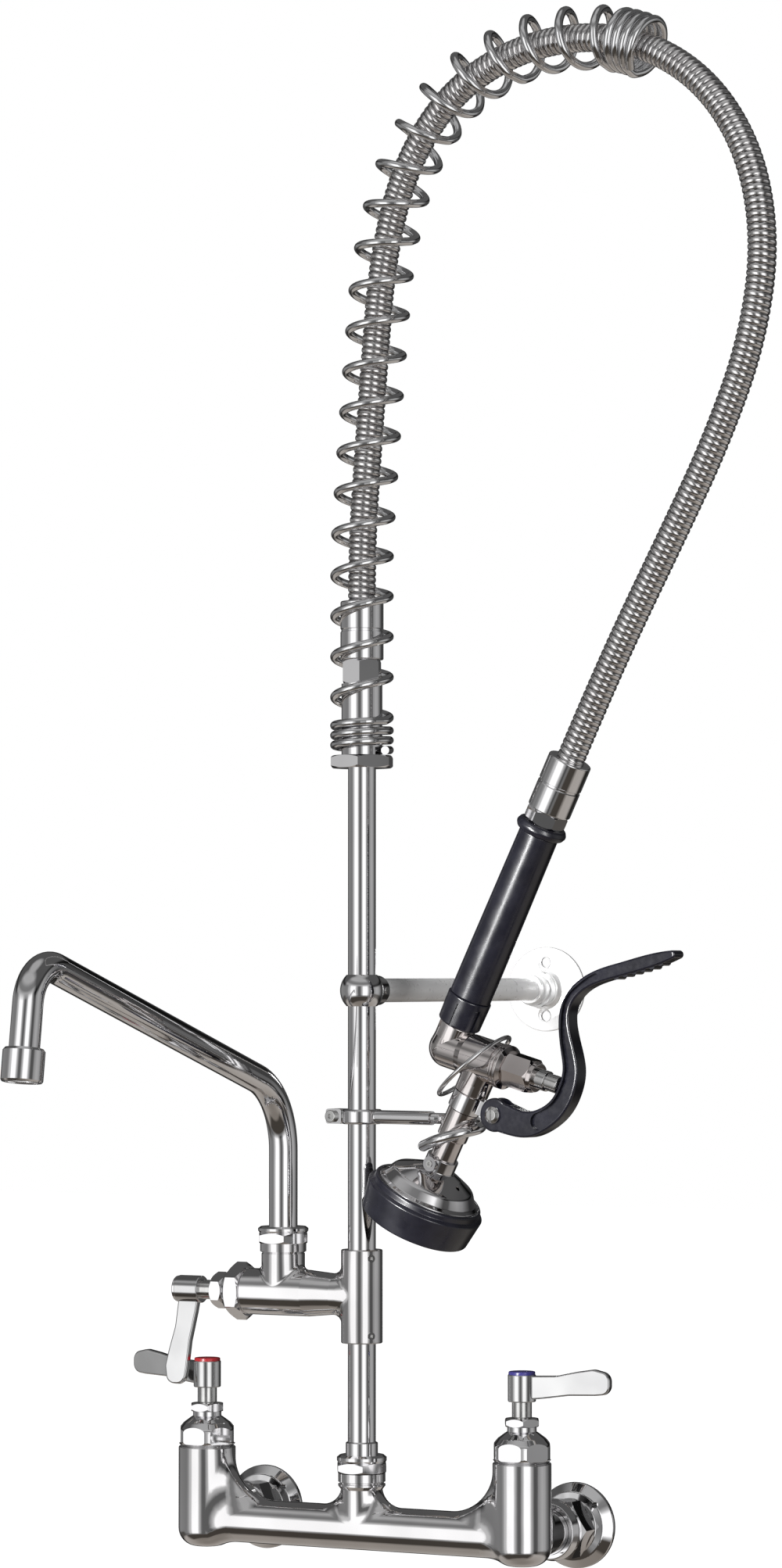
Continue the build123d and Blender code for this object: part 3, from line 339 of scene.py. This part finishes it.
# and by the sine of the height above or below, on the camera's side and behind the object
FRONT_HEIGHTS = [
    (-1.0, grey(0.20, 0.12)), (-0.86, grey(0.20, 0.12)), (-0.80, grey(0.05, 0.15)),
    (-0.54, grey(0.05, 0.15)), (-0.44, grey(0.5)), (-0.38, grey(1.0)), (0.32, grey(1.0)),
    (0.42, grey(0.5)), (0.54, grey(0.20)), (0.64, grey(0.22)), (0.76, grey(0.42)), (1.0, grey(0.42)),
]
BACK_HEIGHTS = [
    (-1.0, grey(0.20, 0.12)), (-0.86, grey(0.30, 0.10)), (-0.60, grey(0.38, 0.07)),
    (-0.30, grey(0.32, 0.07)), (-0.20, grey(1.0)), (0.20, grey(1.0)), (0.30, grey(0.09)),
    (0.90, grey(0.09)), (0.97, grey(0.4)), (1.0, grey(0.4)),
]
# how far plain white takes the place of the panels around, by height: fully overhead and underfoot
OPEN_HEIGHTS = [
    (-1.0, grey(1)), (-0.54, grey(1)), (-0.44, grey(0)), (0.34, grey(0)), (0.46, grey(1)), (1.0, grey(1)),
]
# how far BACK_HEIGHTS take the place of FRONT_HEIGHTS, from the room's side to the wall's
BEHIND = [(-1.0, grey(0)), (-0.36, grey(0)), (-0.10, grey(1)), (1.0, grey(1))]


def studio_world():
    """White strips and dark flags round the object, which polished metal needs to show its shape."""
    sky = Surround()
    bearing = sky.math("ARCTAN2", sky.x, sky.math("MULTIPLY", sky.y, -1))
    turned = sky.math("SUBTRACT", bearing, CAMERA_AZIMUTH)
    wrapped = sky.math("WRAP", turned, math.pi, -math.pi)
    around = sky.ramp(sky.math("DEGREES", wrapped), -180, 180, AROUND)
    open_air = sky.mix(sky.ramp(sky.z, -1, 1, OPEN_HEIGHTS), around, grey(1))
    heights = sky.mix(sky.ramp(sky.y, -1, 1, BEHIND), sky.ramp(sky.z, -1, 1, FRONT_HEIGHTS),
                      sky.ramp(sky.z, -1, 1, BACK_HEIGHTS))
    reflected = sky.mix(1.0, open_air, heights, "MULTIPLY")
    seen = sky.tree.nodes.new("ShaderNodeLightPath")
    backdrop = sky.mix(seen.outputs["Is Camera Ray"], reflected, grey(1))
    light = sky.tree.nodes.new("ShaderNodeBackground")
    sky.tree.links.new(backdrop, light.inputs["Color"])
    output = sky.tree.nodes.new("ShaderNodeOutputWorld")
    sky.tree.links.new(light.outputs["Background"], output.inputs["Surface"])


def unplated_parts():
    """The parts that the softboxes light. Plated metal shows the surround's panels instead."""
    unplated = bpy.data.collections.new("unplated")
    for part in frame["record"]["subparts"]:
        if part["material_slot"] in SOFTBOX_SLOTS or part["node"] in SOFTBOX_NODES:
            unplated.objects.link(frame["nodes"][part["node"]])
    return unplated


def add_softbox(name, place, size, power, receivers):
    """Rectangular light that lights the receivers alone; size in metres, power in watts."""
    data = bpy.data.lights.new(name, "AREA")
    data.shape = "RECTANGLE"
    data.size, data.size_y = size
    data.energy = power
    lamp = bpy.data.objects.new(name, data)
    lamp.location = place
    lamp.rotation_euler = (Vector(SOFTBOX_AIM) - Vector(place)).to_track_quat("-Z", "Y").to_euler()
    lamp.light_linking.receiver_collection = receivers
    bpy.context.scene.collection.objects.link(lamp)


def add_floor():
    """White floor well below the wall-mounted object, which gives off light and isn't reflected."""
    side = FLOOR_HALF_SIDE
    low = cad_box[0][2] - FLOOR_DROP
    corners = [(x, y, low) for x, y in ((-side, -side), (side, -side), (side, side), (-side, side))]
    mesh = bpy.data.meshes.new("floor")
    mesh.from_pydata(corners, [], [(0, 1, 2, 3)])
    floor = bpy.data.objects.new("floor", mesh)
    bpy.context.scene.collection.objects.link(floor)
    shader = Shader("pale_floor", (0.9, 0.9, 0.9), roughness=0.8, Emission_Color=(1, 1, 1, 1),
                    Emission_Strength=0.9)
    shader.vary_color(shader.noise(3.0), (0.88, 0.88, 0.88), (0.92, 0.92, 0.92))
    mesh.materials.append(shader.material)
    floor.visible_glossy = False
    floor.visible_diffuse = False


# ---- hose ----
def nurbs_points(points):
    """Points along a smooth NURBS line through the route, as Blender evaluates it."""
    curve = bpy.data.curves.new("route", "CURVE")
    curve.dimensions = "3D"
    curve.resolution_u = ROUTE_RESOLUTION
    spline = curve.splines.new("NURBS")
    spline.points.add(len(points) - 1)
    for control, point in zip(spline.points, points):
        control.co = (*point, 1)
    spline.order_u = ROUTE_ORDER
    spline.use_endpoint_u = True
    carrier = bpy.data.objects.new("route", curve)
    bpy.context.scene.collection.objects.link(carrier)
    bpy.context.view_layer.update()
    mesh = bpy.data.meshes.new_from_object(carrier)
    line = [v.co.copy() for v in mesh.vertices]
    bpy.data.objects.remove(carrier)
    return line


def even_line(line, step):
    """The same line, with points an even step apart."""
    result = [line[0]]
    left = step
    for start, end in zip(line, line[1:]):
        run = (end - start).length
        while left <= run:
            result.append(start.lerp(end, left / run))
            left += step
        left -= run
    result.append(line[-1])
    return result


def tube_mesh(name, line, radius_at, around, side_axis):
    """Closed tube along a line that lies in a plane; radius_at gives the radius from distance and angle.

    The groove attribute is 0 on the crown of a rib and 1 at the bottom of the groove between two; the hose
    material paints shade into the grooves by it.
    """
    verts, faces, depths = [], [], []
    travelled = 0.0
    for index, spot in enumerate(line):
        ahead = line[min(index + 1, len(line) - 1)] - line[max(index - 1, 0)]
        outward = side_axis.cross(ahead).normalized()
        travelled += (spot - line[index - 1]).length if index else 0.0
        for corner in range(around):
            angle = 2 * math.pi * corner / around
            radius = radius_at(travelled, angle)
            depths.append((HOSE_DIAMETER / 2 - radius) / RIB_DEPTH)
            across, aside = radius * math.cos(angle), radius * math.sin(angle)
            verts.append(spot + outward * across + side_axis * aside)
    for ring in range(len(line) - 1):
        for corner in range(around):
            beside = (corner + 1) % around
            faces.append((ring * around + corner, ring * around + beside, (ring + 1) * around + beside,
                          (ring + 1) * around + corner))
    faces.append(tuple(reversed(range(around))))
    faces.append(tuple(range((len(line) - 1) * around, len(line) * around)))
    mesh = bpy.data.meshes.new(name)
    mesh.from_pydata([tuple(v) for v in verts], [], faces)
    mesh.attributes.new("groove", "FLOAT", "POINT").data.foreach_set("value", depths)
    mesh.update()
    return mesh


def smooth(mesh):
    for polygon in mesh.polygons:
        polygon.use_smooth = True


def rib_radius(distance, angle):
    """Stripwound cover: a rounded bead wound as a helix, with a narrow groove between its turns."""
    across = 2 * ((distance / RIB_PITCH + angle / (2 * math.pi)) % 1.0) - 1
    crown = math.sqrt(max(0.0, 1 - abs(across) ** RIB_FULLNESS))
    return HOSE_DIAMETER / 2 - RIB_DEPTH * (1 - crown)


def add_hose():
    route = [over(r, 0, z) for r, z in HOSE_ROUTE]
    line = nurbs_points(route)
    side_axis = (over(0, 1, 0) - over(0, 0, 0)).normalized()
    fine = even_line(line, RIB_PITCH / RIB_STEPS)
    mesh = tube_mesh("hose_cover", fine, rib_radius, HOSE_SIDES, side_axis)
    smooth(mesh)
    mesh.materials.append(hose_steel())
    hose = bpy.data.objects.new("hose_cover", mesh)
    bpy.context.scene.collection.objects.link(hose)
    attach(hose, "overhead")
    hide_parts("spray_hose")


# ---- materials of the carried-over parts ----
def paint(names, material):
    for name in names:
        node = frame["nodes"][name]
        node.data.materials.clear()
        node.data.materials.append(material)


def paint_parts():
    by_slot = {}
    for part in frame["record"]["subparts"]:
        by_slot.setdefault(part["material_slot"], []).append(part["node"])
    finishes = {
        "polished_chrome": polished_chrome(), "stainless_fittings": stainless(), "stem_brass": stainless(),
        "spring_steel": spring_wire(), "hose_steel": stainless(), "satin_black_grip": satin_black(),
        "gloss_black_lever": gloss_black(), "black_rubber": black_rubber(),
        "seal_rubber": black_rubber("seal_rubber", 0.6),
        "cartridge_plastic": moulded("cartridge_plastic", (0.45, 0.46, 0.48), (0.6, 0.61, 0.63)),
        "aerator_plastic": moulded("aerator_plastic", (0.6, 0.6, 0.6), (0.75, 0.75, 0.75)),
        "hot_red": moulded("hot_red", (0.18, 0.006, 0.010), (0.26, 0.012, 0.016), 0.25),
        "cold_blue": moulded("cold_blue", (0.020, 0.018, 0.10), (0.035, 0.03, 0.15), 0.25),
        "index_chrome": polished_chrome("index_chrome"),
    }
    for slot, names in by_slot.items():
        paint(names, finishes[slot])
    paint(["mixing_body", "addon_body"], cast_chrome())
    # painted shade: the spray valve, neck, bonnet and dome are the same chrome as the bodies, given darker
    # colours (warmer on the valve) that stand in for their darker reflections
    paint(["spray_valve_body", "spray_neck", "spray_valve_bonnet"],
          cast_chrome("valve_chrome_painted_shade", (0.58, 0.535, 0.525), (0.90, 0.86, 0.85)))
    paint(["spray_dome"], cast_chrome("dome_chrome_painted_shade", (0.46, 0.455, 0.47), (0.86, 0.85, 0.86)))
    paint(["hot_handle", "cold_handle", "addon_handle"], handle_chrome())
    # painted highlight: both bracket parts are chrome painted near white
    paint(["bracket_arm"], painted_highlight_chrome())
    paint(["bracket_flange"], painted_highlight_chrome("bracket_plate", 0.5, 0.2))


add_camera()
add_hose()
paint_parts()
studio_world()
unplated = unplated_parts()
add_softbox("key", (-0.5, -2.9, 0.9), (0.5, 2.4), 200.0, unplated)
add_softbox("fill", (2.3, -1.5, 0.9), (0.4, 1.6), 20.0, unplated)
add_floor()
bpy.context.scene.view_settings.view_transform = "Standard"
